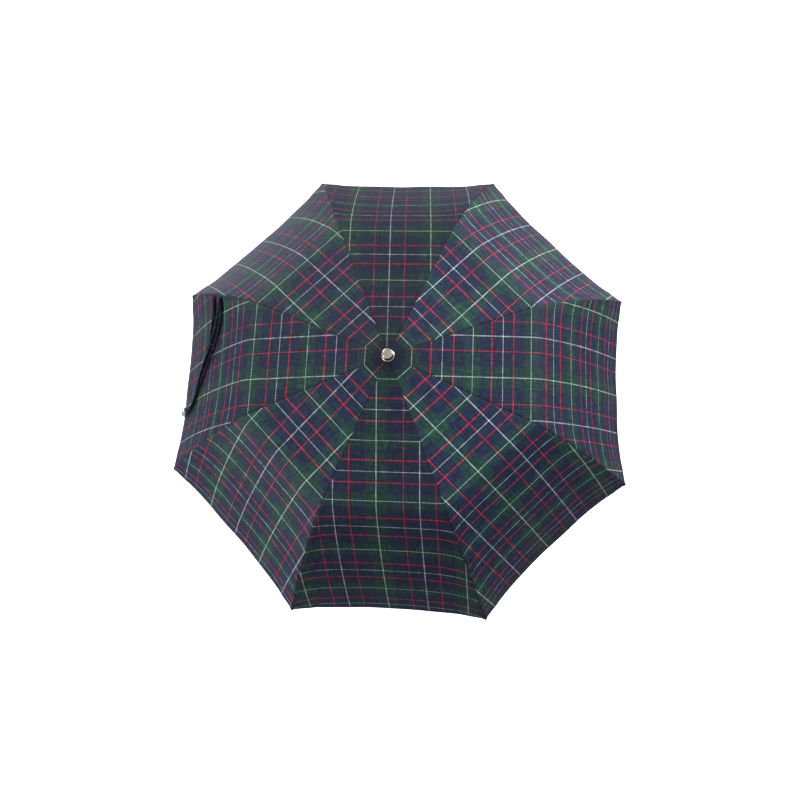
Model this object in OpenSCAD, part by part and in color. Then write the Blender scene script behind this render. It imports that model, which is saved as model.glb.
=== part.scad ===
// Two-section folding umbrella: eight jointed ribs, telescopic shaft, short grip.
// The origin is the middle of the grip and +Z runs up the shaft to the cap.

/* [Canopy] */
// Length of cloth from the apex to the bend over the rib joints
inner_cloth = 276; // [200:1:320]
// Length of cloth along the rib from the bend to the rib tip
outer_cloth = 265; // [200:1:300]
// Slope of the crown of the canopy below the horizontal
inner_slope = 7.2; // [5:0.1:12]
// Slope of the skirt where it leaves the bend
skirt_slope = 29; // [22:0.5:36]
// Slope of the skirt at the rib tips
tip_slope = 56.4; // [45:0.5:62]
// How far the cloth draws in between two ribs on the skirt
cloth_sag = 10; // [4:1:16]
// Thickness of the cloth shells
cloth_t = 0.7; // [0.6:0.1:0.8]
// Distance from the top of the cloth to the top of the ribs
cloth_to_rib = 3.4; // [3.2:0.1:4]

/* [Ribs] */
// Width of the rib channels
rib_w = 3.6; // [3.4:0.1:3.8]
// Height of the rib channels
rib_h = 3.4; // [3.2:0.1:3.6]
// Wall of the rib channels
rib_wall = 0.5; // [0.4:0.05:0.5]
// Distance of the rib pivots from the axis of the shaft
pivot_r = 9.5; // [9.5:0.1:10]
// Distance from a rib's crown pivot to its stretcher pivot, and the stretcher's own length
stretcher_len = 120; // [100:1:125]
// Radius of the rivets and pivot wires
rivet_r = 0.7; // [0.6:0.05:0.7]
// Radial clearance of each rivet in its hole
rivet_clearance = 0.05; // [0.03:0.01:0.08]

/* [Shaft] */
// Outer radius of the upper tube
tube_r = 6; // [5.8:0.1:6]
// Outer radius of the lower tube
lower_tube_r = 4.9; // [4.7:0.05:4.95]
// Wall of both tubes
tube_wall = 0.7; // [0.5:0.1:0.7]
// Length of the upper tube below the crown pivots
upper_tube_len = 285; // [280:1:300]
// How far the shaft telescopes
telescope_travel = 230; // [150:1:235]
// Length of the runner's sleeve below the stretcher pivots
runner_len = 32; // [25:1:34]
// Width of the runner's release button
button_w = 3; // [2.4:0.1:3.2]
// Height of the runner's release button
button_h = 4.4; // [3:0.1:5]
// How far the release button presses in
button_travel = 1.1; // [0.8:0.1:1.2]

/* [Grip] */
// Radius of the grip
grip_r = 13; // [12:0.5:14]
// Length of the grip
grip_len = 84; // [70:1:95]
// Length of the straight middle of the grip
grip_straight = 52; // [40:1:60]
// Height of the collar on the grip
collar_h = 6; // [4:1:8]

/* [Cap] */
// Radius of the cap's flange
flange_r = 11.5; // [11:0.1:12]
// Radius of the cap's top
cap_r = 9.8; // [9:0.1:10.5]
// Height of the cap above the cloth
cap_h = 12; // [11:0.5:14]

/* [Tie strap] */
// Width of the strap
strap_w = 18; // [14:1:22]
// Thickness of the strap
strap_t = 1.2; // [0.8:0.1:1.6]

/* [Hidden] */
RIBS = 8;
HALF = 180 / RIBS;
function numbered(name) = [for (k = [1:RIBS]) str(name, "_", k)];

// the skirt is an arc along each rib
cloth_len = inner_cloth + outer_cloth;
skirt_r = outer_cloth / ((tip_slope - skirt_slope) * PI / 180);
function skirt_angle(s) = skirt_slope + (tip_slope - skirt_slope) * (s - inner_cloth) / outer_cloth;
// radius, height and slope of the cloth over a rib, at a distance s of cloth from the apex
function cloth_slope(s) = s < inner_cloth ? inner_slope : skirt_angle(s);
function cloth_r(s) = s < inner_cloth
    ? s * cos(inner_slope)
    : inner_cloth * cos(inner_slope) + skirt_r * (sin(skirt_angle(s)) - sin(skirt_slope));
function cloth_z(s) = s < inner_cloth
    ? -s * sin(inner_slope)
    : -inner_cloth * sin(inner_slope) + skirt_r * (cos(skirt_angle(s)) - cos(skirt_slope));

// a rib's own frame: origin at its crown pivot, x along the rib and y towards the cloth
bend = skirt_slope - inner_slope;
rib_top = 2.2;
joint_lift = 0.6;
cloth_over_pivot = rib_top + cloth_to_rib;
cloth_over_joint = cloth_to_rib - joint_lift;
joint_setback = cloth_over_joint * tan(bend / 2);
pivot_cloth = (pivot_r + cloth_over_pivot * sin(inner_slope)) / cos(inner_slope);
joint_x = inner_cloth - pivot_cloth - joint_setback;
joint_y = rib_top + joint_lift;

// heights of the frame's pieces
collar_top = grip_len / 2 + collar_h;
closed_gap = 3;
bush_lip = 2;
pivot_z = collar_top + closed_gap + telescope_travel + bush_lip + upper_tube_len;
apex_z = pivot_z + pivot_cloth * sin(inner_slope) + cloth_over_pivot * cos(inner_slope);
runner_z = pivot_z - 2 * stretcher_len * sin(inner_slope);
tube_end_z = pivot_z - upper_tube_len;
bush_len = 12;
sleeve_len = 27;
lower_tube_top = tube_end_z + bush_len + 1 + sleeve_len;
fit_gap = 0.02;
running_gap = 0.05;
tube_bore_r = tube_r - tube_wall;
runner_sleeve_r = tube_r + 1.1;

$fn = 48;

module at_each_rib() {
    for (k = [0:RIBS - 1]) rotate([0, 0, HALF + k * 2 * HALF]) children();
}

// moves a rib's own frame to its place
module at_rib(k) {
    rotate([0, 0, HALF + (k - 1) * 2 * HALF]) translate([pivot_r, 0, pivot_z])
        rotate([0, inner_slope, 0]) rotate([90, 0, 0]) children();
}

// moves the skirt rib's own frame, at the joint and along the skirt, to its place
module at_joint(k) {
    at_rib(k) translate([joint_x, joint_y, 0]) rotate([0, 0, -bend]) children();
}

module ring(outer, inner, low, high) {
    translate([0, 0, low]) difference() {
        cylinder(r = outer, h = high - low);
        translate([0, 0, -1]) cylinder(r = inner, h = high - low + 2);
    }
}

// a rivet or its hole, across a rib
module across(r, width) {
    translate([0, 0, -width / 2]) cylinder(r = r, h = width, $fn = 32);
}

// ---- grip and lower tube

module handle_grip() {
    end = grip_len / 2;
    straight = grip_straight / 2;
    bore_depth = 24;
    color("#2b2b2e") rotate_extrude() difference() {
        polygon([[0, -end], [grip_r - 1.5, -end], [grip_r - 0.4, -straight - 6], [grip_r, -straight],
                 [grip_r, straight], [grip_r - 0.8, straight + 5], [grip_r - 3.2, end], [0, end]]);
        translate([0, end - bore_depth]) square([lower_tube_r + fit_gap, bore_depth + 1]);
    }
}

module handle_collar() {
    base = grip_len / 2;
    rim = grip_r - 3.4;
    color("#c9c2b4") rotate_extrude() polygon([
        [lower_tube_r + fit_gap, base], [rim, base], [rim, base + collar_h - 2],
        [rim - 1.6, base + collar_h], [lower_tube_r + fit_gap, base + collar_h]]);
}

module handle_end_cap() {
    base = -grip_len / 2;
    color("#c9c2b4") rotate_extrude() polygon([
        [0, base], [grip_r - 1.8, base], [grip_r - 1.8, base - 2], [grip_r - 3.4, base - 4], [0, base - 4]]);
}

module lower_tube() {
    color("#b9b9bd") ring(lower_tube_r, lower_tube_r - tube_wall, grip_len / 2 - 23.9, lower_tube_top);
}

module stop_sleeve() {
    color("#8f8f92")
        ring(tube_bore_r - 0.08, lower_tube_r + fit_gap, lower_tube_top - sleeve_len, lower_tube_top - 1);
}

// ---- upper tube and what is fixed to it

module upper_tube() {
    color("#b9b9bd") ring(tube_r, tube_bore_r, tube_end_z, apex_z + cap_h - 3);
}

module tube_bush() {
    color("#e4e2dc") {
        ring(tube_bore_r - fit_gap, lower_tube_r + running_gap, tube_end_z - 0.5, tube_end_z + bush_len);
        ring(tube_r + 0.5, lower_tube_r + running_gap, tube_end_z - bush_lip, tube_end_z - fit_gap);
    }
}

module crown() {
    core = pivot_r - 2.4;
    slot_w = rib_w + 0.4;
    color("#26262a") difference() {
        ring(12.5, tube_r + fit_gap, pivot_z - 5, pivot_z + 2.6);
        at_each_rib() {
            translate([core, -slot_w / 2, pivot_z - 6]) cube([12, slot_w, 10]);
            translate([pivot_r, 0, pivot_z]) rotate([90, 0, 0]) across(rivet_r + fit_gap, 7.2);
        }
    }
}

module crown_pins() {
    color("#c9c9cc") at_each_rib()
        translate([pivot_r, 0, pivot_z]) rotate([90, 0, 0]) across(rivet_r, 6.8);
}

module cloth_washer() {
    low = pivot_z + 2.7;
    color("#26262a") ring(11, tube_r + fit_gap, low, low + 1.5);
}

module cap_flange() {
    low = apex_z - 0.6;
    color("#cfc8ba") rotate_extrude() polygon([
        [tube_r + fit_gap, low], [flange_r - 0.5, low], [flange_r, low + 0.5], [flange_r, low + 2.4],
        [flange_r - 0.8, low + 3.2], [cap_r - 1.6, low + 3.2], [cap_r - 1.6, low + 4.6],
        [tube_r + fit_gap, low + 4.6]]);
}

module cap_top() {
    low = apex_z + 4.02;
    top = apex_z + cap_h;
    bore_top = apex_z + cap_h - 2.9;
    color("#cfc8ba") rotate_extrude() polygon([
        [tube_r + fit_gap, low], [cap_r - 0.5, low], [cap_r, low + 0.6], [cap_r, top - 1.2],
        [cap_r - 0.4, top - 0.3], [cap_r - 1.3, top], [0, top], [0, bore_top], [tube_r + fit_gap, bore_top]]);
}

// ---- runner

runner_flange_r = 13;

module runner() {
    slot_w = rib_w - 0.4;
    color("#26262a") difference() {
        union() {
            ring(runner_flange_r, tube_r + 0.1, runner_z - 3.5, runner_z + 3.5);
            ring(runner_sleeve_r, tube_r + 0.1, runner_z - runner_len, runner_z);
            ring(7.9, tube_r + 0.1, runner_z - runner_len, runner_z - runner_len + 4);
        }
        at_each_rib() translate([runner_sleeve_r + 0.1, -slot_w / 2, runner_z - 4.5]) cube([10, slot_w, 9]);
        translate([0, -button_w / 2 - 0.1, runner_z - button_h / 2 - 0.1])
            cube([runner_flange_r + 1, button_w + 0.2, button_h + 0.2]);
    }
}

// the button sticks out of the flange between two ribs and presses in towards the tube
module runner_button() {
    inner = tube_r + button_travel + 0.2;
    outer = runner_flange_r + button_travel + 0.4;
    color("#c9c2b4") translate([0, button_w / 2, runner_z - button_h / 2]) rotate([90, 0, 0])
        linear_extrude(button_w) polygon([
            [inner, 0], [outer - 0.5, 0], [outer, 0.5], [outer, button_h - 0.5], [outer - 0.5, button_h],
            [inner, button_h]]);
}

// ---- ribs, in their own frames

module inner_rib_shape() {
    eye_r = 2.1;
    block_end = joint_x - 2.5;
    block_len = 9.5;
    ear_r = 1.5;
    ear_in = 1;
    difference() {
        union() {
            across(eye_r, rib_w);
            translate([0, rib_top - rib_h, -rib_w / 2]) cube([block_end, rib_h, rib_w]);
        }
        translate([7, rib_top - rib_h - 1, rib_wall - rib_w / 2])
            cube([block_end - block_len - 7, rib_h + 1 - rib_wall, rib_w - 2 * rib_wall]);
        across(rivet_r + rivet_clearance, rib_w + 2);
        translate([stretcher_len, 0, 0]) across(rivet_r + rivet_clearance, rib_w + 2);
        // the inner end is cut back to its round eye
        translate([-5, -5, -rib_w]) cube([5 - eye_r, 10, 2 * rib_w]);
    }
    translate([joint_x, joint_y, 0]) {
        for (side = [-1, 1]) translate([0, 0, side * (rib_w / 2 + ear_in) / 2])
            translate([0, 0, (ear_in - rib_w / 2) / 2]) linear_extrude(rib_w / 2 - ear_in) {
                circle(r = ear_r, $fn = 32);
                polygon([[0, ear_r], [0, -ear_r], [-3.5, -joint_lift - rib_h], [-3.5, -joint_lift]]);
            }
        across(rivet_r - 0.1, rib_w - 0.2);
    }
}

module outer_rib_shape() {
    tongue_w = 1.6;
    start_x = 3.5;
    end_angle = (outer_cloth + 1) / skirt_r * 180 / PI;
    start_angle = (start_x + joint_setback) / skirt_r * 180 / PI;
    block_angle = 8 / skirt_r * 180 / PI;
    top_r = skirt_r - cloth_to_rib;
    difference() {
        union() {
            // the channel bends about the centre of the skirt's arc
            translate([-joint_setback, cloth_over_joint - skirt_r, 0]) difference() {
                rotate([0, 0, 90 - end_angle]) rotate_extrude(angle = end_angle - start_angle, $fn = 360)
                    translate([top_r - rib_h, -rib_w / 2]) square([rib_h, rib_w]);
                rotate([0, 0, 89 - end_angle])
                    rotate_extrude(angle = end_angle - start_angle - block_angle + 1, $fn = 360)
                        translate([top_r - rib_h - 1, rib_wall - rib_w / 2])
                            square([rib_h + 1 - rib_wall, rib_w - 2 * rib_wall]);
            }
            translate([0, 0, -tongue_w / 2]) linear_extrude(tongue_w) {
                circle(r = 1.5, $fn = 32);
                polygon([[0, 1.5], [0, -1.5], [start_x, -joint_lift - rib_h + 0.6],
                         [start_x + 1, -joint_lift - rib_h + 0.6], [start_x + 1, -joint_lift - 0.1],
                         [start_x, -joint_lift - 0.1]]);
            }
        }
        across(rivet_r - 0.1 + rivet_clearance, rib_w);
    }
}

module rib_tip_shape() {
    tip_angle = (outer_cloth + 1.1) / skirt_r * 180 / PI;
    mid_r = skirt_r - cloth_to_rib - rib_h / 2;
    translate([-joint_setback, cloth_over_joint - skirt_r, 0])
        rotate([0, 0, -tip_angle]) translate([0, mid_r, 0]) rotate([0, 90, 0]) rotate_extrude()
            polygon([[0, 0], [2, 0], [2.3, 0.6], [2.3, 4], [2, 5], [1.2, 5.8], [0, 6.1]]);
}

module stretcher_shape() {
    bar_w = 2.2;
    half_h = 1.2;
    rotate([0, 0, 180 + 2 * inner_slope]) {
        translate([0, -half_h, -bar_w / 2]) cube([stretcher_len, 2 * half_h, bar_w]);
        across(half_h, bar_w);
        across(rivet_r, rib_w);
        translate([stretcher_len, 0, 0]) {
            across(half_h, bar_w);
            across(rivet_r, rib_w - 0.8);
        }
    }
}

module inner_rib(k) {
    color("#8d8d92") at_rib(k) inner_rib_shape();
}

module outer_rib(k) {
    color("#8d8d92") at_joint(k) outer_rib_shape();
}

module rib_tip(k) {
    color("#1d1d20") at_joint(k) rib_tip_shape();
}

module stretcher(k) {
    color("#9a9aa0") at_rib(k) translate([stretcher_len, 0, 0]) stretcher_shape();
}

// ---- cloth

// A point of a panel whose middle runs along +X: s is the cloth from the apex over the ribs,
// w runs from -1 to 1 across the panel and h is the height over the cloth's top.
seam_gap = 0.35;
function sag(s, w) = s < inner_cloth
    ? 0
    : cloth_sag * sin(120 * (s - inner_cloth) / outer_cloth) * (1 - w * w);
function panel_point(s, w, h) =
    let (
        slope = cloth_slope(s),
        out = h - sag(s, w),
        half = cloth_r(s) * sin(HALF) - seam_gap
    ) [cloth_r(s) * cos(HALF) + out * sin(slope), half * w, apex_z + cloth_z(s) + out * cos(slope)];

// a closed shell between heights low and high over a grid of [s, w] points
module shell(grid, low, high) {
    rows = len(grid);
    cols = len(grid[0]);
    count = rows * cols;
    function at(i, j, side) = side * count + i * cols + j;
    points = [for (h = [low, high], row = grid, p = row) panel_point(p[0], p[1], h)];
    sheets = [for (i = [0:rows - 2], j = [0:cols - 2]) each [
        [at(i, j, 0), at(i + 1, j, 0), at(i + 1, j + 1, 0)], [at(i, j, 0), at(i + 1, j + 1, 0), at(i, j + 1, 0)],
        [at(i, j, 1), at(i + 1, j + 1, 1), at(i + 1, j, 1)], [at(i, j, 1), at(i, j + 1, 1), at(i + 1, j + 1, 1)]]];
    ends = [for (j = [0:cols - 2]) each [
        [at(0, j, 0), at(0, j + 1, 0), at(0, j + 1, 1)], [at(0, j, 0), at(0, j + 1, 1), at(0, j, 1)],
        [at(rows - 1, j + 1, 0), at(rows - 1, j, 0), at(rows - 1, j, 1)],
        [at(rows - 1, j + 1, 0), at(rows - 1, j, 1), at(rows - 1, j + 1, 1)]]];
    sides = [for (i = [0:rows - 2]) each [
        [at(i + 1, 0, 0), at(i, 0, 0), at(i, 0, 1)], [at(i + 1, 0, 0), at(i, 0, 1), at(i + 1, 0, 1)],
        [at(i, cols - 1, 0), at(i + 1, cols - 1, 0), at(i + 1, cols - 1, 1)],
        [at(i, cols - 1, 0), at(i + 1, cols - 1, 1), at(i, cols - 1, 1)]]];
    polyhedron(points, concat(sheets, ends, sides));
}

inner_edge = 7.6;
bend_rings = [for (i = [0:10]) inner_cloth + outer_cloth * i / 10];
panel_rings = concat([inner_edge, 90, 180], bend_rings);

module canopy_panel(k) {
    color("#2c4450") rotate([0, 0, k * 2 * HALF])
        shell([for (s = panel_rings) [for (j = [-4:4]) [s, j / 4]]], -cloth_t, 0);
}

// The strap is sewn on at the fourth rib and lies across the skirt of the next panel to its hem.
// Its middle line passes through these [s, w] points.
strap_panel = 4;
strap_route = [
    [390, -0.97], [389, -0.68], [408, -0.38], [432, -0.11], [458, 0.14], [484, 0.33], [514, 0.41], [546, 0.42]];
strap_over_cloth = 0.6;

// a [s, w] point laid out flat, and back again
function flat_point(p) = [cloth_r(p[0]) * sin(HALF) * p[1], p[0]];
function unflat_point(q) = [q[1], q[0] / (cloth_r(q[1]) * sin(HALF))];
function strap_point(i, side) =
    let (
        last = len(strap_route) - 1,
        here = flat_point(strap_route[i]),
        along = flat_point(strap_route[min(i + 1, last)]) - flat_point(strap_route[max(i - 1, 0)]),
        across = [-along[1], along[0]] / norm(along)
    ) unflat_point(here + across * side * strap_w / 2);

module tie_strap() {
    color("#27404c") rotate([0, 0, strap_panel * 2 * HALF])
        shell([for (side = [-1:0.5:1]) [for (i = [0:len(strap_route) - 1]) strap_point(i, side)]],
            strap_over_cloth, strap_over_cloth + strap_t);
}

module strap_snap() {
    end = strap_route[len(strap_route) - 1];
    from_end = 7;
    place = panel_point(end[0] - from_end, end[1], strap_over_cloth + strap_t);
    color("#18181a") rotate([0, 0, strap_panel * 2 * HALF]) translate(place)
        rotate([0, cloth_slope(end[0] - from_end), 0]) translate([0, 0, 0.3]) cylinder(r = 5, h = 1.8);
}

handle_grip();
handle_collar();
handle_end_cap();
lower_tube();
stop_sleeve();
upper_tube();
tube_bush();
crown();
crown_pins();
cloth_washer();
cap_flange();
cap_top();
runner();
runner_button();
tie_strap();
strap_snap();
for (k = [1:RIBS]) {
    canopy_panel(k);
    inner_rib(k);
    outer_rib(k);
    rib_tip(k);
    stretcher(k);
}
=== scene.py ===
"""An open two-section folding umbrella in tartan cloth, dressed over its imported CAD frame.

Lengths in the design section are millimetres; everything handed to Blender is in metres.
"""
from math import cos, pi, radians, sin

import bpy
import numpy as np
from mathutils import Euler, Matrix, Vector


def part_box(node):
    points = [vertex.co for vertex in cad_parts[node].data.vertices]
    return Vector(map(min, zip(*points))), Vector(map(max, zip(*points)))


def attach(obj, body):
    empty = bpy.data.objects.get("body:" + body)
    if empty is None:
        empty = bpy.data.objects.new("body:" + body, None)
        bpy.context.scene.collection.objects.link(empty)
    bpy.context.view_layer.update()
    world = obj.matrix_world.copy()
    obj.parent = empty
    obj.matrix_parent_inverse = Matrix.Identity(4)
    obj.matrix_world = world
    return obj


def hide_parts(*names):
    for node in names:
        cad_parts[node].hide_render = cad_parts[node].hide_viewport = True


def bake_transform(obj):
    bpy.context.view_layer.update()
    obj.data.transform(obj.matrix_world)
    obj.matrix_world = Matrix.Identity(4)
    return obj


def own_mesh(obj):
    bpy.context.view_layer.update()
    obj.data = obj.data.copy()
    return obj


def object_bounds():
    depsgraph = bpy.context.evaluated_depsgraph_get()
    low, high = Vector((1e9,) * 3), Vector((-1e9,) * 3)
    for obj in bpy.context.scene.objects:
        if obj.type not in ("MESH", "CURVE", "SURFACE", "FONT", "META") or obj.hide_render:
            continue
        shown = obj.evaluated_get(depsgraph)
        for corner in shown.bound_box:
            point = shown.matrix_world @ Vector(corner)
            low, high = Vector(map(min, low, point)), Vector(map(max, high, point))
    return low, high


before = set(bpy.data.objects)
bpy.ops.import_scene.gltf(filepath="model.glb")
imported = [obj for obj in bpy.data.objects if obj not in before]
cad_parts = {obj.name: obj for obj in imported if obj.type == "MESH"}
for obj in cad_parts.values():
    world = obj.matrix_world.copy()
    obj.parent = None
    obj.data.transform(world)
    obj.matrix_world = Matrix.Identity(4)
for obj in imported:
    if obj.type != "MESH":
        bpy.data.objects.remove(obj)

cad_box = [list(corner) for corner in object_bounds()]

MM = 0.001
RIBS = 8
HALF = pi / RIBS

# ---- the canopy's shape, as in the CAD model
APEX_Z = 574.845
INNER_CLOTH = 276
OUTER_CLOTH = 265
CLOTH_END = INNER_CLOTH + OUTER_CLOTH
INNER_SLOPE = radians(7.2)
SKIRT_SLOPE = radians(29)
TIP_SLOPE = radians(56.4)
CLOTH_SAG = 10
SAG_TURN = radians(120)
SAG_ONSET = 0.03
SAG_POWER = 2.6
# the cloth's curve is worked out in short steps, to a little past the hem
STEP = 0.5
PAST_HEM = 12

# ---- the cloth; a RISE is (where along the cloth something starts, over what length it becomes full)
CLOTH_T = 0.35
FIRST_RING = 7
# the cap clamps the cloth, and from BLEND_START to CROWN_CLOTH it goes over to the ribs
BLEND_START = 12
CROWN_CLOTH = 24
# half the length over which the cloth bends
BEND_AT_RIB = 7
BEND_AT_MIDDLE = 30
# the seams lie in a narrow dip
SEAM_DIP = 0.8
SEAM_REACH = 1.6
SEAM_DIP_RISE = (20, 40)
# the cloth's corner is drawn out to a point over each rib tip
CORNER_RISE = (CLOTH_END - 24, 24)
CORNER_SPREAD = 5
CORNER_STRETCH = 4.5
CORNER_FLARE = 2.2
# low waves in each panel, and a ridge beside each seam near the hem
HEM_WAVE = 0.6
HEM_WAVE_RISE = (INNER_CLOTH + 60, 200)
FLAT_WAVE = 0.3
FLAT_WAVE_RISE = (60, 150)
RIDGE = 1.6
RIDGE_RISE = (430, 100)
RIDGE_PLACE = 0.86
RIDGE_SPREAD = 0.07
# how far each panel's hem is pulled in at its middle
HEM_PULL = (0, -3, 0, 1, 0, 2, 6, 4)
HEM_PULL_RISE = (380, 160)

# ---- the rows and columns of the cloth's meshes
ROW_STEP = 6
FEWEST_ROWS = 10
BEND_ROWS = (-9, -6, -3, -1.5, 1.5, 3, 6, 9)
SEAM_COLUMNS = (0.8, 1.8, 3.2, 5.5)
WIDEST_COLUMN = 0.05
MORE_COLUMNS = 14
# the hem is rolled under and lies against the cloth
HEM_FOLD = 6
HEM_ROLL = 0.55
HEM_TURNS = 4
HEM_ROWS = (1.5, 3, 4.5, HEM_FOLD)
FAR_FROM_EDGE = 50.0

# ---- the tartan: one repeat across and along the cloth, and where each panel was cut
REPEAT_ACROSS = 145.5
REPEAT_ALONG = 103.5
FIRST_LINE = 39.8
PANEL_SHIFT = (-29, -65, 52, 37, 55, -14, -24, -28)
# how much more cloth each panel holds than its smooth shape, first at the bend and then out to the hem
BEND_SLACK = 7
BEND_SLACK_RISE = (200, 130)
SKIRT_SLACK = (1, -1, 13, 27, 7, 4, 21, 19)
SLACK_FROM = 290
SLACK_OVER = 150
SLACK_POWER = 1.4
# painted light and shade: how light each panel looks, painted into its cloth as a lighter or darker copy
PANEL_PAINTED_SHADE = (1.28, 0.6, 0.88, 0.85, 1.08, 0.82, 1.35, 1.1)
# the lines lean off the panels' middles, and hook back at the seams of the skirt
LEAN_FROM = 187
LEAN = 0.03
SKIRT_LEAN = 0.055
SEAM_HOOK = 8
SEAM_HOOK_RISE = (INNER_CLOTH - 20, 120)
SEAM_HOOK_POWER = 9
# the sett: half the width of the green ground and the place of the red line, as shares of a repeat
GREEN_HALF = 0.125
RED_LINE = 0.314
LINE_W = 1.5
THREAD = 0.5
SLUB = 3.4

# ---- the tie strap: distance from the apex and place across its panel, -1 to 1
STRAP_PANEL = 4
STRAP_ROUTE = [
    (377, -0.97), (373, -0.7), (388, -0.38), (415, -0.11),
    (447, 0.15), (471, 0.33), (505, 0.395), (538, 0.39),
]
STRAP_W = 17
STRAP_T = 1.0
STRAP_OVER_CLOTH = 0.9
STRAP_TONE = 0.9
# how steeply the strap stands on its edge: shares of its length, and degrees
STRAP_TILTS = ([0, 0.08, 0.3, 0.55, 0.75, 0.9, 1], [15, 34, 42, 31, 18, 8, 2])
STRAP_PLEAT = [(405, -0.97), (400, -0.76), (410, -0.45), (431, -0.12)]
PLEAT_W = 13
PLEAT_TILTS = ([0, 0.3, 1], [16, 26, 14])
# where the strap and its pleat were cut from the tartan, in repeats
STRAP_CUT = 0.385
PLEAT_CUT = 0.4
CUT_START = 0.1
# a ribbon's mesh, its curl from edge to edge and its small waves
RIBBON_ROWS = 90
RIBBON_COLUMNS = 9
RIBBON_CURL = 0.2
RIBBON_EDGE = 0.35
RIBBON_BORDER = 0.3
LEAST_TILT = 0.02
TILT_WAVE = 0.05
SIDE_WAVE = 0.4
# the snap: (radius, height) of its outline, and how it sits on the strap's end
SNAP_OUTLINE = [
    (5.9, -1.6), (6.5, -1.2), (6.5, 0.9), (6.0, 1.4), (3.4, 1.5),
    (3.1, 1.0), (2.7, 1.0), (2.3, 2.0), (1.5, 2.5), (0.5, 2.7),
]
SNAP_SETBACK = 7
SNAP_TURN = 1.1
SNAP_LIFT = 1.8

# ---- the cap, as (radius, height) of three turned pieces; negative heights are from the cap's top
FLANGE_OUTLINE = [
    (8, 0), (10.8, 0), (11.1, 0.5), (11.2, 1.2), (11.0, 2.0),
    (10.5, 2.5), (9.9, 2.6), (8.2, 2.3), (7.8, 2.0),
]
# a black ring in the groove, painted shade in the gap between flange and button
GROOVE_SHADE_FOOT = [(7.0, 2.1), (9.8, 2.45), (9.9, 2.75), (9.2, 3.1), (8.5, 3.4)]
GROOVE_SHADE_HEAD = [(8.3, -3), (7.0, -2)]
BUTTON_OUTLINE = [
    (6.8, -2.2), (8.5, -2.3), (8.9, -2.0), (9.0, -1.1), (8.8, -0.5),
    (8.4, -0.15), (7.9, 0), (6.2, -0.06), (3, -0.03), (0.6, 0),
]
CAP_TURNS = 96

# ---- the grip: heights and radii of its outline, as in the CAD model, and the grooves round its middle
GRIP_HEIGHTS = (-42, -32, -26, 26, 31, 42)
GRIP_RADII = (11.5, 12.6, 13, 13, 12.2, 9.8)
GRIP_STEP = 0.4
GRIP_TURNS = 72
GROOVED_HALF = 23.4
GROOVE_STEP = 5.2
GROOVE_DEPTH = 0.55

# ---- the rib tips: how far past the hem and under the cloth they start, and their (radius, height)
TIP_GAP = 1.1
TIP_DEPTH = 5.1
TIP_TURNS = 32
TIP_OUTLINE = [
    (1.6, 0), (2.0, 0.05), (2.3, 0.6), (2.3, 3.2), (2.0, 3.5), (2.0, 3.9),
    (2.3, 4.2), (2.2, 4.8), (1.9, 5.4), (1.3, 5.85), (0.6, 6.05), (0.2, 6.1),
]

# ---- the patches at the rib joints
PAD_LEN = 34
PAD_W = 15
PAD_DEPTH = 1.1
PAD_DROOP = 0.36
PAD_ROWS = 15
PAD_COLUMNS = 7

# ---- the studio, in metres: each lamp's name, place from the apex and energy
LAMPS = (
    ("key", (1.9, 1.6, 0.95), 82),
    ("back", (-1.5, 1.9, 0.95), 50),
    ("left", (-2.1, -1.1, 0.9), 50),
)
LAMP_SIZE = 1.4
SKY_STRENGTH = 0.42
CAMERA_PLACE = (0.1256, -0.3391, 1.1966)
CAMERA_TURN = (12.544, 4.326, 2.476)
FOCAL_LENGTH = 33.4
SENSOR = 36
FLOOR_SIZE = 30
FLOOR_GAP = 0.002
BACKDROP_RADIUS = 14


# ---- geometry of the cloth

def rib_angle(k):
    """Azimuth of rib k."""
    return HALF + (k - 1) * 2 * HALF


def smooth(x):
    x = np.clip(x, 0, 1)
    return x * x * (3 - 2 * x)


def rise(s, start, length):
    """0 up to start, and 1 from length further on."""
    return smooth((s - start) / length)


def skirt_angle(s):
    return SKIRT_SLOPE + (TIP_SLOPE - SKIRT_SLOPE) * (s - INNER_CLOTH) / OUTER_CLOTH


STEPS = np.arange(0, CLOTH_END + PAST_HEM, STEP)


def profile(w):
    """Radius, drop and slope of the cloth along its length, at w across a panel."""
    reach = BEND_AT_RIB + (BEND_AT_MIDDLE - BEND_AT_RIB) * (1 - w * w)
    mix = smooth((STEPS - INNER_CLOTH + reach) / (2 * reach))
    slope = INNER_SLOPE * (1 - mix) + skirt_angle(np.maximum(STEPS, INNER_CLOTH)) * mix
    middle = (slope[1:] + slope[:-1]) / 2
    radius = np.concatenate([[0], np.cumsum(np.cos(middle) * STEP)])
    drop = np.concatenate([[0], np.cumsum(np.sin(middle) * STEP)])
    return radius, drop, slope


RIB_PROFILE = profile(1.0)


def over_rib(s):
    """Radius, drop and slope of the cloth over a rib."""
    return [np.interp(s, STEPS, curve) for curve in RIB_PROFILE]


def half_width(s):
    """Half the width of a panel."""
    return over_rib(s)[0] * sin(HALF)


HEM_HALF = half_width(CLOTH_END)


def corner(s, w):
    """How near a point is to a rib's tip: 1 at the tip itself."""
    return np.exp(-(1 - abs(w)) * HEM_HALF / CORNER_SPREAD) * rise(s, *CORNER_RISE)


def ripple(s, w, k):
    """Low waves in the cloth of panel k. The numbers in them only keep the panels from being alike."""
    hem_waves = np.sin(7.1 * w + 1.9 * k) + 0.6 * np.sin(11.3 * w - 2.3 * k + s / 60)
    flat_waves = np.sin(3.1 * w + 0.9 * k + s / 47)
    ridge = np.exp(-(((abs(w) - RIDGE_PLACE) / RIDGE_SPREAD) ** 2))
    between_seams = (
        HEM_WAVE * rise(s, *HEM_WAVE_RISE) * hem_waves
        + FLAT_WAVE * rise(s, *FLAT_WAVE_RISE) * flat_waves
        - HEM_PULL[k - 1] * rise(s, *HEM_PULL_RISE)
    )
    return between_seams * (1 - w * w) + RIDGE * ridge * rise(s, *RIDGE_RISE)


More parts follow.
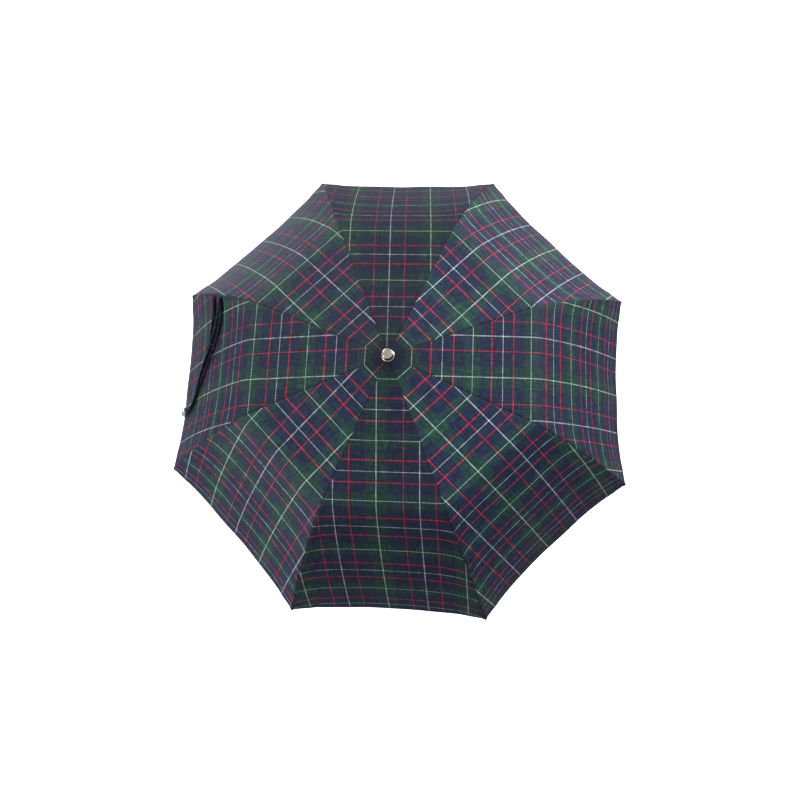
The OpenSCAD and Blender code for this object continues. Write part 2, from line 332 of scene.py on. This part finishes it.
def sag(s, w):
    """How far the skirt is drawn in between its ribs."""
    share = (s - INNER_CLOTH) / OUTER_CLOTH
    share = 0.5 * (share + np.sqrt(share * share + SAG_ONSET ** 2))
    return CLOTH_SAG * np.sin(SAG_TURN * share) * (1 - abs(w) ** SAG_POWER)


def cloth_point(k, s, w, h=0.0):
    """A point of panel k, in millimetres: s along the cloth from the apex, w from -1 to 1 across, h above."""
    s, w = np.broadcast_arrays(np.asarray(s, float), np.asarray(w, float))
    radius, drop, slope = (np.empty(s.shape) for _ in range(3))
    tip = corner(s, w)
    stretched = s + CORNER_STRETCH * tip
    for value in np.unique(w):
        here = w == value
        for target, curve in zip((radius, drop, slope), profile(value)):
            target[here] = np.interp(stretched[here], STEPS, curve)
    from_seam = (1 - abs(w)) * radius * sin(HALF)
    dip = SEAM_DIP * np.exp(-((from_seam / SEAM_REACH) ** 2)) * rise(s, *SEAM_DIP_RISE)
    out = h - sag(s, w) + ripple(s, w, k) + CORNER_FLARE * tip - dip
    x = radius * cos(HALF) + out * np.sin(slope)
    y = radius * sin(HALF) * w
    z = APEX_Z - drop + out * np.cos(slope)
    turn = k * 2 * HALF
    return np.stack([x * cos(turn) - y * sin(turn), x * sin(turn) + y * cos(turn), z], -1)


def across_places(s):
    """Places across half a panel, from its seam at 1 to its middle at 0, close together at the seam."""
    half = half_width(s)
    near = [min(d / half, WIDEST_COLUMN * (i + 1)) for i, d in enumerate(SEAM_COLUMNS)]
    far = np.linspace(near[-1], 1, MORE_COLUMNS + 1)[1:]
    return 1 - np.array([0.0] + near + list(far))


def lengths(points):
    """Length along a line of points, up to each of them."""
    return np.concatenate([[0], np.cumsum(np.linalg.norm(np.diff(points, axis=0), axis=1))])


MIDDLE_LENGTH = lengths(cloth_point(RIBS, STEPS, np.zeros_like(STEPS)))
SEAM_SCALE = np.interp(INNER_CLOTH, STEPS, MIDDLE_LENGTH) / INNER_CLOTH


def tartan_place(k, s, w):
    """Where a point of panel k lies in the tartan, counted in repeats across and along the cloth."""
    to_seam = abs(w) ** 3
    along = np.interp(s, STEPS, MIDDLE_LENGTH) * (1 - to_seam) + SEAM_SCALE * s * to_seam
    along -= SEAM_HOOK * float(rise(s, *SEAM_HOOK_RISE)) * abs(w) ** SEAM_HOOK_POWER
    along += BEND_SLACK * float(rise(s, *BEND_SLACK_RISE))
    along += SKIRT_SLACK[k - 1] * (max(s - SLACK_FROM, 0) / SLACK_OVER) ** SLACK_POWER
    bend = SEAM_SCALE * INNER_CLOTH
    lean = LEAN * (min(along, bend) - LEAN_FROM) + SKIRT_LEAN * max(along - bend, 0)
    return (
        (w * half_width(s) - lean - PANEL_SHIFT[k - 1]) / REPEAT_ACROSS,
        (along - FIRST_LINE) / REPEAT_ALONG,
    )


# ---- meshes

def sharpen_border(mesh):
    """Keeps the open edges of a sheet crisp once it has thickness."""
    uses = {}
    for face in mesh.polygons:
        for key in face.edge_keys:
            uses[key] = uses.get(key, 0) + 1
    for edge in mesh.edges:
        edge.use_edge_sharp = uses.get(edge.key, 0) == 1


def new_object(name, vertices, faces, uvs=None):
    """An object made of points in millimetres; uvs is the place in the tartan of each face's corners."""
    mesh = bpy.data.meshes.new(name)
    mesh.from_pydata([tuple(v * MM for v in p) for p in vertices], [], faces)
    mesh.shade_smooth()
    sharpen_border(mesh)
    obj = bpy.data.objects.new(name, mesh)
    bpy.context.scene.collection.objects.link(obj)
    if uvs:
        layer = mesh.uv_layers.new(name="tartan")
        layer.data.foreach_set("uv", np.array(uvs, np.float32).ravel())
    return obj


def thicken(obj, thickness, offset=-1):
    solid = obj.modifiers.new("thickness", "SOLIDIFY")
    solid.thickness = thickness * MM
    solid.offset = offset
    return solid


def point_value(obj, name, values):
    attribute = obj.data.attributes.new(name, "FLOAT", "POINT")
    attribute.data.foreach_set("value", np.asarray(values, np.float32))


def cloth_rows(first, last, hem):
    """Distance from the apex and height of a strip's rows, closer together at the bend and in the hem."""
    count = max(FEWEST_ROWS, int((last - first) / ROW_STEP) + 2)
    at_bend = [INNER_CLOTH + d for d in BEND_ROWS]
    places = list(np.linspace(first, last, count)) + [s for s in at_bend if first < s < last]
    rows = [(s, 0.0) for s in sorted(places)]
    if hem:
        turns = np.linspace(1 / HEM_TURNS, 1, HEM_TURNS) * pi
        rows += [(last + HEM_ROLL * sin(a), -HEM_ROLL * (1 - cos(a))) for a in turns]
        rows += [(last - d, -2 * HEM_ROLL) for d in HEM_ROWS]
    return rows


def cloth_strip(name, k, first, last, hem):
    """The cloth on both sides of rib k, out to the middle of the two panels that meet there."""
    rows = cloth_rows(first, last, hem)
    before = (k - 2) % RIBS + 1
    points, places, seams, hems, painted_panel_shades = [], [], [], [], []
    for s, h in rows:
        w = across_places(min(s, last))
        points += list(cloth_point(before, np.full(w.shape, s), w, h)[::-1])
        points += list(cloth_point(k, np.full(w.shape, s), -w, h)[1:])
        from_seam = (1 - w) * half_width(s)
        seams += list(from_seam[::-1]) + list(from_seam[1:])
        hems += [abs(last - s) + (0 if h == 0 else 0.01)] * (2 * len(w) - 1)
        # each panel's painted light and shade
        painted_panel_shades += [PANEL_PAINTED_SHADE[before - 1]] * (len(w) - 1) + [PANEL_PAINTED_SHADE[k - 1]] * len(w)
        left = [tartan_place(before, s, value) for value in w[::-1]]
        places.append(left + [tartan_place(k, s, -value) for value in w])
    columns = len(w) * 2 - 1
    faces, uvs = [], []
    for i in range(len(rows) - 1):
        for j in range(columns - 1):
            a = i * columns + j
            faces.append((a, a + columns, a + columns + 1, a + 1))
            # a point on the seam has two places in the tartan, one for each panel
            p = j + 1 if j >= len(w) - 1 else j
            uvs += [places[i][p], places[i + 1][p], places[i + 1][p + 1], places[i][p + 1]]
    obj = new_object(name, points, faces, uvs)
    point_value(obj, "seam", seams)
    point_value(obj, "hem", hems if hem else [FAR_FROM_EDGE] * len(hems))
    point_value(obj, "tone", painted_panel_shades)
    return obj


# ---- materials

def srgb(red, green, blue):
    """A colour given as on a screen, 0 to 255, made linear."""
    channels = (c / 255 for c in (red, green, blue))
    return tuple(c / 12.92 if c < 0.04045 else ((c + 0.055) / 1.055) ** 2.4 for c in channels) + (1,)


def grey(value):
    return (value, value, value, 1)


class Shader:
    """Builds one node material."""

    def __init__(self, name):
        self.material = bpy.data.materials.new(name)
        self.material.use_nodes = True
        self.tree = self.material.node_tree
        self.tree.nodes.clear()
        self.output = self.tree.nodes.new("ShaderNodeOutputMaterial")
        self.surface = self.tree.nodes.new("ShaderNodeBsdfPrincipled")
        self.tree.links.new(self.surface.outputs[0], self.output.inputs[0])

    def put(self, socket, value):
        if isinstance(value, bpy.types.NodeSocket):
            self.tree.links.new(value, socket)
        else:
            socket.default_value = value

    def add(self, kind, inputs=(), **settings):
        made = self.tree.nodes.new("ShaderNode" + kind)
        for key, value in settings.items():
            setattr(made, key, value)
        for key, value in dict(inputs).items():
            self.put(made.inputs[key], value)
        return made

    def math(self, operation, *values):
        made = self.add("Math", operation=operation)
        for socket, value in zip(made.inputs, values):
            self.put(socket, value)
        return made.outputs[0]

    def mix(self, factor, first, second, blend="MIX"):
        made = self.add("Mix", data_type="RGBA", blend_type=blend)
        for index, value in ((0, factor), (6, first), (7, second)):
            self.put(made.inputs[index], value)
        return made.outputs[2]

    def toned(self, colour, tone):
        """A colour multiplied by a tone."""
        return self.mix(1.0, colour, tone, "MULTIPLY")

    def ramp(self, factor, stops, interpolation="LINEAR"):
        made = self.add("ValToRGB", {0: factor})
        ramp = made.color_ramp
        ramp.interpolation = interpolation
        while len(ramp.elements) > 1:
            ramp.elements.remove(ramp.elements[-1])
        for index, (place, colour) in enumerate(stops):
            element = ramp.elements[0] if index == 0 else ramp.elements.new(place)
            element.position = place
            element.color = colour
        return made.outputs[0]

    def grey_ramp(self, factor, *stops):
        """A ramp of greys, given as (place, value)."""
        return self.ramp(factor, [(place, grey(value)) for place, value in stops])

    def noise(self, vector, scale, detail):
        inputs = {"Vector": vector, "Scale": scale, "Detail": detail, "Roughness": 0.5}
        return self.add("TexNoise", inputs).outputs[0]

    def attribute(self, name):
        return self.add("Attribute", attribute_name=name).outputs[2]

    def scaled(self, vector, scale):
        return self.add("Mapping", {"Vector": vector, "Scale": scale}).outputs[0]

    def bump(self, height, strength, distance):
        made = self.add("Bump", {"Height": height, "Strength": strength, "Distance": distance})
        self.put(self.surface.inputs["Normal"], made.outputs[0])

    def finish(self, **inputs):
        for key, value in inputs.items():
            self.put(self.surface.inputs[key.replace("_", " ")], value)
        return self.material


GREEN = srgb(33, 71, 59)
NAVY = srgb(31, 43, 69)
RED = srgb(255, 26, 60)
WHITE = srgb(213, 226, 238)
PALE = srgb(200, 234, 217)


def sett(shader, place, repeat):
    """The colour of one set of threads, from their place in the repeat."""
    half_line = LINE_W / 2 / repeat
    near = shader.math("FRACT", place)
    stops = [(0, PALE), (half_line, GREEN), (GREEN_HALF, NAVY)]
    for centre, colour in ((RED_LINE, RED), (0.5, WHITE), (1 - RED_LINE, RED)):
        stops += [(centre - half_line, colour), (centre + half_line, NAVY)]
    stops += [(1 - GREEN_HALF, GREEN), (1 - half_line, PALE)]
    return shader.ramp(near, stops, "CONSTANT")


def slub_tone(shader, place):
    """Thicker and thinner yarns, long along each set of threads."""
    warp = shader.noise(shader.scaled(place, (REPEAT_ACROSS / SLUB, 5, 1)), 1.0, 3)
    weft = shader.noise(shader.scaled(place, (7, REPEAT_ALONG / SLUB, 1)), 1.0, 3)
    both = shader.math("MULTIPLY", shader.math("ADD", warp, weft), 0.5)
    return shader.grey_ramp(both, (0.41, 0.42), (0.59, 1.0))


def seam_painted_shade(shader):
    """Painted shade in the stitched dip along a seam, partly the seam's own stitches: the dip is darker."""
    seam = shader.math("DIVIDE", shader.attribute("seam"), 4.0)
    return shader.grey_ramp(seam, (0, 0.25), (0.16, 0.42), (0.28, 0.85), (1.0, 1.0))


def hem_tone(shader):
    """A bluish edge, then the hem's double cloth and its line of stitches."""
    hem = shader.math("DIVIDE", shader.attribute("hem"), HEM_FOLD)
    return shader.ramp(hem, [
        (0, srgb(70, 125, 130)), (0.36, srgb(110, 150, 152)), (0.46, grey(0.85)), (0.74, grey(0.85)),
        (0.8, grey(0.45)), (0.88, grey(0.45)), (0.94, grey(1.0)),
    ])


def tartan_cloth():
    """A twill of the sett's two sets of threads, toned by slubs, hem and the seams' stitches, and by painted
    light and shade: in the seam dips, towards the apex and panel by panel.
    """
    shader = Shader("tartan_cloth")
    place = shader.add("UVMap", uv_map="tartan").outputs[0]
    parts = shader.add("SeparateXYZ", {0: place})
    across, along = parts.outputs[0], parts.outputs[1]
    thread_x = shader.math("MULTIPLY", across, round(REPEAT_ACROSS / THREAD))
    thread_y = shader.math("MULTIPLY", along, round(REPEAT_ALONG / THREAD))
    diagonal = shader.math("ADD", shader.math("FLOOR", thread_x), shader.math("FLOOR", thread_y))
    twill = shader.math("LESS_THAN", shader.math("FLOORED_MODULO", diagonal, 4.0), 1.5)
    share = shader.math("MULTIPLY_ADD", twill, 0.3, 0.35)
    colour = shader.mix(share, sett(shader, across, REPEAT_ACROSS), sett(shader, along, REPEAT_ALONG))
    colour = shader.toned(colour, slub_tone(shader, place))
    from_apex = shader.math("ADD", along, FIRST_LINE / REPEAT_ALONG)
    # painted shade along the seams, faded out near the apex
    seam_shade_fade = shader.grey_ramp(from_apex, (0.25, 0.1), (0.55, 1.0))
    colour = shader.mix(seam_shade_fade, colour, shader.toned(colour, seam_painted_shade(shader)))
    colour = shader.toned(colour, hem_tone(shader))
    # painted shade: the cloth darker towards the apex
    apex_painted_shade = shader.grey_ramp(from_apex, (0.1, 0.44), (0.35, 0.66), (0.4, 0.88), (0.8, 1.0))
    colour = shader.toned(colour, apex_painted_shade)
    # painted light and shade of each panel, and the strap's tone
    colour = shader.toned(colour, shader.attribute("tone"))
    round_x = shader.math("ABSOLUTE", shader.math("SINE", shader.math("MULTIPLY", thread_x, pi)))
    round_y = shader.math("ABSOLUTE", shader.math("SINE", shader.math("MULTIPLY", thread_y, pi)))
    threads = shader.math("MULTIPLY", round_x, round_y)
    shader.bump(shader.math("ADD", threads, shader.math("MULTIPLY", twill, 0.5)), 0.25, 0.0001)
    return shader.finish(
        Base_Color=colour, Roughness=0.6, Specular_IOR_Level=0.2, Sheen_Weight=0.22,
        Sheen_Roughness=0.4, Sheen_Tint=srgb(190, 195, 215),
    )


def pad_cloth():
    """Plain black pongee for the joint patches, and black cloth on the strap's underside as painted shade."""
    shader = Shader("pad_cloth")
    place = shader.add("TexCoord").outputs["Object"]
    weave = shader.add("TexWave", {"Vector": place, "Scale": 620.0, "Distortion": 0.6}).outputs[1]
    shade = shader.ramp(shader.noise(place, 500.0, 3), [(0.3, srgb(22, 22, 27)), (0.7, srgb(40, 40, 46))])
    shader.bump(weave, 0.4, 0.0001)
    return shader.finish(Base_Color=shade, Roughness=0.8, Sheen_Weight=0.2)


def metal(name, colour, roughness, grain):
    """Bare or plated metal with a fine drawn grain and slight tarnish."""
    shader = Shader(name)
    place = shader.add("TexCoord").outputs["Object"]
    drawn = shader.noise(shader.scaled(place, (1, 1, 0.06)), grain, 3)
    tarnish = shader.grey_ramp(shader.noise(place, 60.0, 4), (0.35, 0), (0.75, 1))
    tarnished = tuple(c * 0.72 for c in colour[:3]) + (1,)
    rough = shader.math("MULTIPLY_ADD", drawn, 0.25, roughness - 0.1)
    shader.bump(drawn, 0.12, 0.00008)
    tone = shader.mix(tarnish, colour, tarnished)
    return shader.finish(Base_Color=tone, Metallic=1.0, Roughness=rough)


def plastic(name, colour, roughness, speckle=900.0, strength=0.15):
    """Moulded plastic with a fine spark-eroded grain."""
    shader = Shader(name)
    place = shader.add("TexCoord").outputs["Object"]
    broad = shader.noise(place, 45.0, 3)
    wear = shader.grey_ramp(broad, (0.35, 0), (0.8, 1))
    worn = tuple(min(1, c * 1.35 + 0.004) for c in colour[:3]) + (1,)
    rough = shader.math("MULTIPLY_ADD", broad, 0.18, roughness - 0.08)
    shader.bump(shader.noise(place, speckle, 2), strength, 0.0002)
    tone = shader.mix(wear, colour, worn)
    return shader.finish(Base_Color=tone, Roughness=rough, Specular_IOR_Level=0.45)


def dress(material, *nodes):
    """Gives CAD nodes a material."""
    for name in nodes:
        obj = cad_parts[name]
        if not obj.material_slots:
            obj.data.materials.append(material)
        for place in obj.material_slots:
            place.material = material


def numbered(name):
    return [f"{name}_{k}" for k in range(1, RIBS + 1)]


def dress_frame(champagne, black):
    """The CAD nodes that stay in view."""
    dress(champagne, "handle_collar", "handle_end_cap", "runner_button")
    dress(metal("tube_steel", srgb(176, 178, 184), 0.24, 2200.0), "lower_tube", "stop_sleeve", "upper_tube")
    ribs = metal("rib_steel", srgb(120, 122, 128), 0.36, 1800.0)
    dress(ribs, "crown_pins", *numbered("inner_rib"), *numbered("outer_rib"), *numbered("stretcher"))
    dress(black, "crown", "cloth_washer", "runner")
    dress(plastic("white_plastic", srgb(214, 212, 204), 0.4), "tube_bush")


# ---- pieces

def flatten(obj):
    """Gives a piece its own copy of its mesh."""
    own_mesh(obj)


def canopy(cloth):
    """The panels, as a crown, an inner and a skirt strip for each rib."""
    for k in range(1, RIBS + 1):
        parts = (
            ("crown", FIRST_RING, CROWN_CLOTH, "cloth_washer"),
            ("inner", CROWN_CLOTH, INNER_CLOTH, f"inner_rib_{k}"),
            ("skirt", INNER_CLOTH, CLOTH_END, f"outer_rib_{k}"),
        )
        for part, first, last, holder in parts:
            hem = part == "skirt"
            strip = cloth_strip(f"canopy_{part}_{k}", k, first, last, hem)
            strip.data.materials.append(cloth)
            thicken(strip, CLOTH_T)
            if part == "crown":
                seam = cloth_point(k, [BLEND_START, CROWN_CLOTH], [-1, -1]) * MM
                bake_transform(strip)
            else:
                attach(strip, holder)
                flatten(strip)
            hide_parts(f"canopy_panel_{k}")


def spline(points, count):
    """Points of a smooth curve through the given ones."""
    points = np.array(points, float)
    ends = np.vstack([2 * points[0] - points[1], points, 2 * points[-1] - points[-2]])
    curve = []
    for t in np.linspace(0, len(points) - 1, count):
        i = min(int(t), len(points) - 2)
        u = t - i
        a, b, c, d = ends[i:i + 4]
        curve.append(0.5 * (2 * b + (c - a) * u + (2 * a - 5 * b + 4 * c - d) * u * u
                            + (3 * b - a - 3 * c + d) * u ** 3))
    return np.array(curve)


def ribbon_frame(route):
    """The line of a ribbon over the strap's panel, with its directions along, sideways and up."""
    s, w = spline(route, RIBBON_ROWS).T
    base = cloth_point(STRAP_PANEL, s, w, STRAP_OVER_CLOTH)
    normal = cloth_point(STRAP_PANEL, s, w, STRAP_OVER_CLOTH + 1) - base
    along = np.gradient(base, axis=0)
    along /= np.linalg.norm(along, axis=1)[:, None]
    side = np.cross(normal, along)
    inward = base - cloth_point(STRAP_PANEL, s + 1, w, STRAP_OVER_CLOTH)
    side *= np.sign((side * inward).sum(1))[:, None]
    return base, along, side, normal


def ribbon(name, route, width, tilts, cut):
    """A band of cloth along a route on the strap's panel. It stands up from its outer edge by the tilts."""
    base, along, side, normal = ribbon_frame(route)
    length = lengths(base)
    share = length / length[-1]
    across = np.linspace(0, width, RIBBON_COLUMNS)
    points = []
    for i in range(RIBBON_ROWS):
        tilt = radians(np.interp(share[i], *tilts)) + TILT_WAVE * sin(share[i] * 17)
        wave = SIDE_WAVE * sin(share[i] * 19) * min(1, 8 * share[i], 8 * (1 - share[i]))
        for y in across:
            bent = tilt - RIBBON_CURL + 2 * RIBBON_CURL * y / width
            reach = y * cos(bent) - width * RIBBON_EDGE
            up = y * sin(max(bent, LEAST_TILT))
            points.append(base[i] + side[i] * (reach + wave) + normal[i] * up)
    faces, uvs = [], []
    for i in range(RIBBON_ROWS - 1):
        for j in range(RIBBON_COLUMNS - 1):
            a = i * RIBBON_COLUMNS + j
            faces.append((a, a + 1, a + RIBBON_COLUMNS + 1, a + RIBBON_COLUMNS))
            for row, column in ((i, j), (i, j + 1), (i + 1, j + 1), (i + 1, j)):
                uvs.append((cut + across[column] / REPEAT_ACROSS, length[row] / REPEAT_ALONG + CUT_START))
    obj = new_object(name, points, faces, uvs)
    point_value(obj, "seam", [FAR_FROM_EDGE] * len(points))
    point_value(obj, "tone", [STRAP_TONE] * len(points))
    point_value(obj, "hem", [min(y, width - y) + RIBBON_BORDER for y in across] * RIBBON_ROWS)
    return obj, length[-1], (base[-1], along[-1], normal[-1])


def lathe(name, outline, centre, axis, turns=40):
    """A turned piece: outline is a list of (radius, height) round an axis, in millimetres."""
    axis = Vector(axis).normalized()
    turn = Vector((0, 0, 1)).rotation_difference(axis)
    points, faces = [], []
    for radius, height in outline:
        for i in range(turns):
            angle = 2 * pi * i / turns
            spoke = Vector((radius * cos(angle), radius * sin(angle), height))
            points.append(Vector(centre) + turn @ spoke)
    for row in range(len(outline) - 1):
        for i in range(turns):
            a, b = row * turns + i, row * turns + (i + 1) % turns
            faces.append((a, b, b + turns, a + turns))
    faces.append(tuple(reversed(range(turns))))
    faces.append(tuple(range((len(outline) - 1) * turns, len(outline) * turns)))
    return new_object(name, points, faces)


def cap(metal_finish, groove_shade_finish):
    """The turned cap: a flange with a rounded rim, a black ring in the groove as painted shade, and a flat
    button on top.
    """
    low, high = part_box("cap_flange")[0].z / MM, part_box("cap_top")[1].z / MM
    height = high - low
    groove_shade = GROOVE_SHADE_FOOT + [(r, height + z) for r, z in GROOVE_SHADE_HEAD]
    button = [(r, height + z) for r, z in BUTTON_OUTLINE]
    parts = (
        ("cap_flange_turned", FLANGE_OUTLINE, metal_finish, "cap_metal", "cap_flange"),
        # the black ring is painted shade in the groove
        ("cap_painted_groove_shade", groove_shade, groove_shade_finish, "black_plastic", None),
        ("cap_button_turned", button, metal_finish, "cap_metal", "cap_top"),
    )
    for name, outline, finish, slot, node in parts:
        piece = lathe(name, outline, (0, 0, low), (0, 0, 1), CAP_TURNS)
        piece.data.materials.append(finish)
        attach(piece, "upper_shaft")
        if node:
            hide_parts(node)


def grip(rubber):
    """The soft grip, with finger grooves round its straight middle."""
    outline = []
    for z in np.arange(GRIP_HEIGHTS[0], GRIP_HEIGHTS[-1] + 0.1, GRIP_STEP):
        wave = max(0, -cos(2 * pi * z / GROOVE_STEP)) ** 4 if abs(z) < GROOVED_HALF else 0
        outline.append((float(np.interp(z, GRIP_HEIGHTS, GRIP_RADII)) - GROOVE_DEPTH * wave, z))
    piece = lathe("handle_grip_turned", outline, (0, 0, 0), (0, 0, 1), GRIP_TURNS)
    piece.data.materials.append(rubber)
    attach(piece, "handle_section")
    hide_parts("handle_grip")


def rib_tips(finish):
    """The turned end of each skirt rib."""
    radius, drop, slope = over_rib(CLOTH_END + TIP_GAP)
    out = radius - TIP_DEPTH * sin(slope)
    height = APEX_Z - drop - TIP_DEPTH * cos(slope)
    for k in range(1, RIBS + 1):
        x, y = cos(rib_angle(k)), sin(rib_angle(k))
        axis = (x * cos(slope), y * cos(slope), -sin(slope))
        tip = lathe(f"rib_tip_turned_{k}", TIP_OUTLINE, (x * out, y * out, height), axis, TIP_TURNS)
        tip.data.materials.append(finish)
        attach(tip, f"outer_rib_{k}")
        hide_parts(f"rib_tip_{k}")


def follow_skirt(obj, k):
    """Rides the skirt rib of rib k, with its own copy of its mesh."""
    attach(obj, f"outer_rib_{k}")
    flatten(obj)


def strap(cloth, painted_shade_lining, snap_metal):
    """The tie strap, its doubled start and the snap at its end; its underside is black cloth, painted shade
    in the gap under its raised edge.
    """
    band, length, end = ribbon("tie_strap_band", STRAP_ROUTE, STRAP_W, STRAP_TILTS, STRAP_CUT)
    pleat, pleat_length, _ = ribbon("tie_strap_pleat", STRAP_PLEAT, PLEAT_W, PLEAT_TILTS, PLEAT_CUT)
    for piece in (band, pleat):
        piece.data.materials.append(cloth)
        piece.data.materials.append(painted_shade_lining)
        # the second material, black cloth on the underside, is painted shade
        thicken(piece, STRAP_T, 0).material_offset = 1
        follow_skirt(piece, STRAP_PANEL)
        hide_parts("tie_strap")
    place, along, normal = end
    facing = normal + np.array([0, 0, SNAP_TURN])
    snap = lathe("tie_strap_snap", SNAP_OUTLINE, place - along * SNAP_SETBACK + facing * SNAP_LIFT, facing)
    snap.data.materials.append(snap_metal)
    follow_skirt(snap, STRAP_PANEL)
    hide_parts("strap_snap")


def joint_pads(cloth):
    """Small patches that keep each rib joint off the canopy."""
    rows = np.linspace(-PAD_LEN / 2, PAD_LEN / 2, PAD_ROWS)
    columns = np.linspace(-PAD_W / 2, PAD_W / 2, PAD_COLUMNS)
    for k in range(1, RIBS + 1):
        angle = rib_angle(k)
        outward = np.array([cos(angle), sin(angle), 0])
        tangent = np.array([-sin(angle), cos(angle), 0])
        points, faces = [], []
        for d in rows:
            r, drop, slope = over_rib(INNER_CLOTH + d)
            for y in columns:
                under = PAD_DEPTH + PAD_DROOP * abs(y) * sin(HALF)
                height = np.array([0, 0, APEX_Z - drop - under * cos(slope)])
                points.append(outward * (r - under * sin(slope)) + height + tangent * y)
        for i in range(PAD_ROWS - 1):
            for j in range(PAD_COLUMNS - 1):
                a = i * PAD_COLUMNS + j
                faces.append((a, a + PAD_COLUMNS, a + PAD_COLUMNS + 1, a + 1))
        pad = new_object(f"joint_pad_{k}", points, faces)
        pad.data.materials.append(cloth)
        thicken(pad, CLOTH_T)
        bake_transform(pad)


# ---- the studio

def stage():
    """A pale floor and backdrop that glow evenly and take no part in the object's light."""
    bpy.ops.mesh.primitive_plane_add(size=FLOOR_SIZE)
    floor = bpy.context.object
    floor.name = "floor"
    floor.location.z = cad_box[0][2] - FLOOR_GAP
    bpy.ops.mesh.primitive_cylinder_add(
        radius=BACKDROP_RADIUS, depth=FLOOR_SIZE, vertices=96, end_fill_type="NOTHING")
    backdrop = bpy.context.object
    backdrop.name = "backdrop"
    pale = Shader("floor").finish(
        Base_Color=grey(0.9), Roughness=0.9, Emission_Color=grey(1), Emission_Strength=0.9)
    for piece in (floor, backdrop):
        piece.data.materials.append(pale)
        piece.visible_diffuse = False
        piece.visible_glossy = False
        piece.visible_shadow = False


def lights():
    """Three large low lamps round the canopy, and a sky that is brighter above."""
    apex = Vector((0, 0, APEX_Z * MM))
    for name, offset, energy in LAMPS:
        lamp = bpy.data.lights.new(name, "AREA")
        lamp.size = LAMP_SIZE
        lamp.energy = energy
        obj = bpy.data.objects.new(name, lamp)
        bpy.context.scene.collection.objects.link(obj)
        obj.location = apex + Vector(offset)
        obj.rotation_euler = (-Vector(offset)).to_track_quat("-Z", "Y").to_euler()
    world = bpy.data.worlds.new("studio")
    world.use_nodes = True
    tree = world.node_tree
    direction = tree.nodes.new("ShaderNodeSeparateXYZ")
    tree.links.new(tree.nodes.new("ShaderNodeTexCoord").outputs["Generated"], direction.inputs[0])
    ramp = tree.nodes.new("ShaderNodeValToRGB")
    for element, place, value in zip(ramp.color_ramp.elements, (0.0, 0.5), (0.4, 1.0)):
        element.position = place
        element.color = grey(value)
    tree.links.new(direction.outputs[2], ramp.inputs[0])
    background = tree.nodes["Background"]
    tree.links.new(ramp.outputs[0], background.inputs[0])
    background.inputs[1].default_value = SKY_STRENGTH
    bpy.context.scene.world = world


def camera():
    """The photograph's view, from almost straight above the cap."""
    lens = bpy.data.cameras.new("camera")
    lens.lens = FOCAL_LENGTH
    lens.sensor_width = SENSOR
    obj = bpy.data.objects.new("camera", lens)
    bpy.context.scene.collection.objects.link(obj)
    obj.location = Vector((0, 0, APEX_Z * MM)) + Vector(CAMERA_PLACE)
    obj.rotation_euler = Euler([radians(angle) for angle in CAMERA_TURN], "XYZ")
    bpy.context.scene.camera = obj


camera()
lights()
stage()
champagne_metal = metal("champagne_metal", srgb(236, 229, 212), 0.28, 1500.0)
black_plastic = plastic("black_plastic", srgb(16, 16, 19), 0.42)
dress_frame(champagne_metal, black_plastic)
cap(champagne_metal, black_plastic)
grip(plastic("grip_rubber", srgb(38, 38, 42), 0.6, 1400.0, 0.4))
rib_tips(metal("tip_metal", srgb(46, 46, 52), 0.4, 900.0))
tartan = tartan_cloth()
canopy(tartan)
black_cloth = pad_cloth()
strap(tartan, black_cloth, metal("snap_metal", srgb(150, 158, 172), 0.3, 900.0))
joint_pads(black_cloth)
bpy.context.scene.view_settings.view_transform = "Standard"
